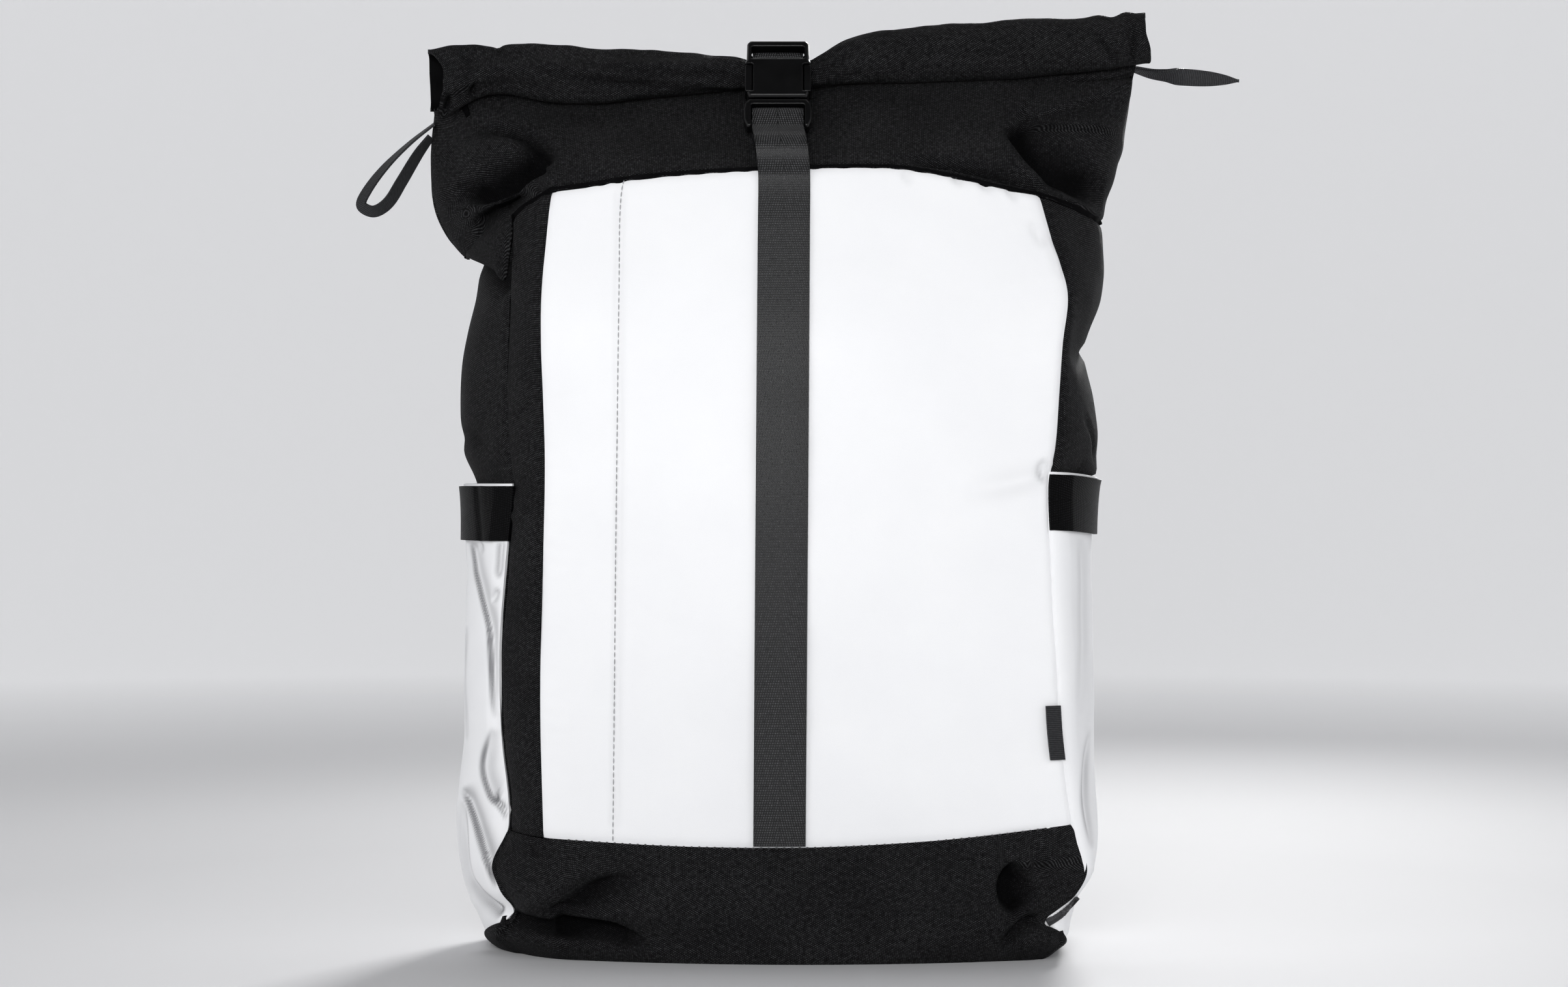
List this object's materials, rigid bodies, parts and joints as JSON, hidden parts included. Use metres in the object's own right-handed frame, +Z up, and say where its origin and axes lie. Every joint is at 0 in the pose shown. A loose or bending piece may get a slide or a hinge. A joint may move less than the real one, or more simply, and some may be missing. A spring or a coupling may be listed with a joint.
{
  "type": "roll-top backpack",
  "caption": "Soft upright backpack with a reflective front panel and side pockets, a rolled collar held shut by a buckled strap, and padded shoulder straps.",
  "frame": {"origin": "on the underside of the base, under the middle of the centre strap", "axes": "+Z up, +X to the right as seen from the front, +Y from the front panel to the back"},
  "size_m": [0.4418, 0.1704, 0.4665],
  "materials": {
    "black_cloth": "matte woven",
    "reflective_cloth": "fine bright reflective coating",
    "webbing": "ribbed webbing",
    "ribbon": "cross-ribbed ribbon",
    "buckle_plastic": "moulded, slight sheen"
  },
  "bodies": {
    "root": {"front_strip": "black_cloth", "gusset_left": "black_cloth", "gusset_right": "black_cloth", "back_panel": "black_cloth", "boot": "black_cloth", "collar_front": "black_cloth", "collar_back": "black_cloth", "rolled_top": "black_cloth", "shoulder_strap_left": "black_cloth", "shoulder_strap_right": "black_cloth", "front_panel": "reflective_cloth", "pocket_left": "reflective_cloth", "pocket_right": "reflective_cloth", "pocket_band_left": "webbing", "pocket_band_right": "webbing", "centre_strap": "webbing", "upper_strap": "webbing", "strap_webbing_left": "webbing", "strap_webbing_right": "webbing", "ribbon_loop_left": "ribbon", "ribbon_loop_right": "ribbon", "seam_tab": "ribbon", "buckle_socket": "buckle_plastic", "buckle_plug": "buckle_plastic"}
  },
  "joints": []
}
